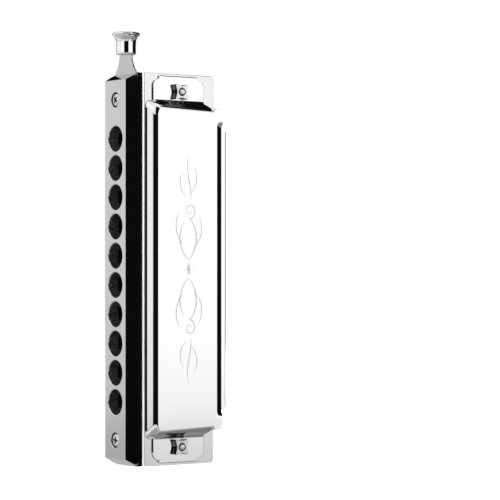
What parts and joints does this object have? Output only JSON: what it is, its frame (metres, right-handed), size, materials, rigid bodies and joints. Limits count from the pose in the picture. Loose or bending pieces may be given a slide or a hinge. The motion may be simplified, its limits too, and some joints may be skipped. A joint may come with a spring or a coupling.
{
  "type": "slide chromatic harmonica",
  "caption": "Slide chromatic harmonica with round blow holes, chrome covers open at the back, plastic comb and a sprung slide button, standing on its end.",
  "frame": {"origin": "middle of the bounding box's footprint, on the surface that the low-note end stands on", "axes": "+Z along the instrument from the low-note end to the slide button, -Y towards the player (blow holes), +Y the open back, -X the top cover with the screw heads, +X the bottom cover with the nuts"},
  "size_m": [0.0266, 0.0338, 0.1347],
  "materials": {
    "cover_chrome": "mirror-polished chrome plating on pressed sheet",
    "mouthpiece_chrome": "polished chrome plating with a fine satin on the front face",
    "reed_plate_metal": "bright nickel plating on brass plate",
    "button_chrome": "mirror-polished turned knob",
    "slide_steel": "finely brushed strip",
    "comb_plastic": "black moulded plastic with a fine matt grain",
    "reed_brass": "ground and filed brass strip",
    "fastener_steel": "plated steel screws and nuts",
    "spring_steel": "drawn spring wire"
  },
  "bodies": {
    "body": {"comb": "comb_plastic", "top_reed_plate": "reed_plate_metal", "bottom_reed_plate": "reed_plate_metal", "mouthpiece": "mouthpiece_chrome", "slide_back_plate": "slide_steel", "slide_spring": "spring_steel", "top_cover": "cover_chrome", "bottom_cover": "cover_chrome", "cover_screw_upper": "fastener_steel", "cover_screw_lower": "fastener_steel", "cover_nut_upper": "fastener_steel", "cover_nut_lower": "fastener_steel", "mouthpiece_screw_upper": "fastener_steel", "mouthpiece_screw_lower": "fastener_steel", "top_blow_reed_1": "reed_brass", "top_blow_reed_2": "reed_brass", "top_blow_reed_3": "reed_brass", "top_blow_reed_4": "reed_brass", "top_blow_reed_5": "reed_brass", "top_blow_reed_6": "reed_brass", "top_blow_reed_7": "reed_brass", "top_blow_reed_8": "reed_brass", "top_blow_reed_9": "reed_brass", "top_blow_reed_10": "reed_brass", "top_draw_reed_1": "reed_brass", "top_draw_reed_2": "reed_brass", "top_draw_reed_3": "reed_brass", "top_draw_reed_4": "reed_brass", "top_draw_reed_5": "reed_brass", "top_draw_reed_6": "reed_brass", "top_draw_reed_7": "reed_brass", "top_draw_reed_8": "reed_brass", "top_draw_reed_9": "reed_brass", "top_draw_reed_10": "reed_brass", "bottom_blow_reed_1": "reed_brass", "bottom_blow_reed_2": "reed_brass", "bottom_blow_reed_3": "reed_brass", "bottom_blow_reed_4": "reed_brass", "bottom_blow_reed_5": "reed_brass", "bottom_blow_reed_6": "reed_brass", "bottom_blow_reed_7": "reed_brass", "bottom_blow_reed_8": "reed_brass", "bottom_blow_reed_9": "reed_brass", "bottom_blow_reed_10": "reed_brass", "bottom_draw_reed_1": "reed_brass", "bottom_draw_reed_2": "reed_brass", "bottom_draw_reed_3": "reed_brass", "bottom_draw_reed_4": "reed_brass", "bottom_draw_reed_5": "reed_brass", "bottom_draw_reed_6": "reed_brass", "bottom_draw_reed_7": "reed_brass", "bottom_draw_reed_8": "reed_brass", "bottom_draw_reed_9": "reed_brass", "bottom_draw_reed_10": "reed_brass"},
    "slide_assembly": {"slide": "slide_steel", "slide_button": "button_chrome"}
  },
  "joints": [
    {"name": "slide_press", "type": "slide", "parent": "body", "child": "slide_assembly", "axis": [0, 0, -1], "range_m": [0, 0.00454], "stiffness_N_per_m": 200, "springref_m": -0.004, "deforming": ["slide_spring"]}
  ]
}
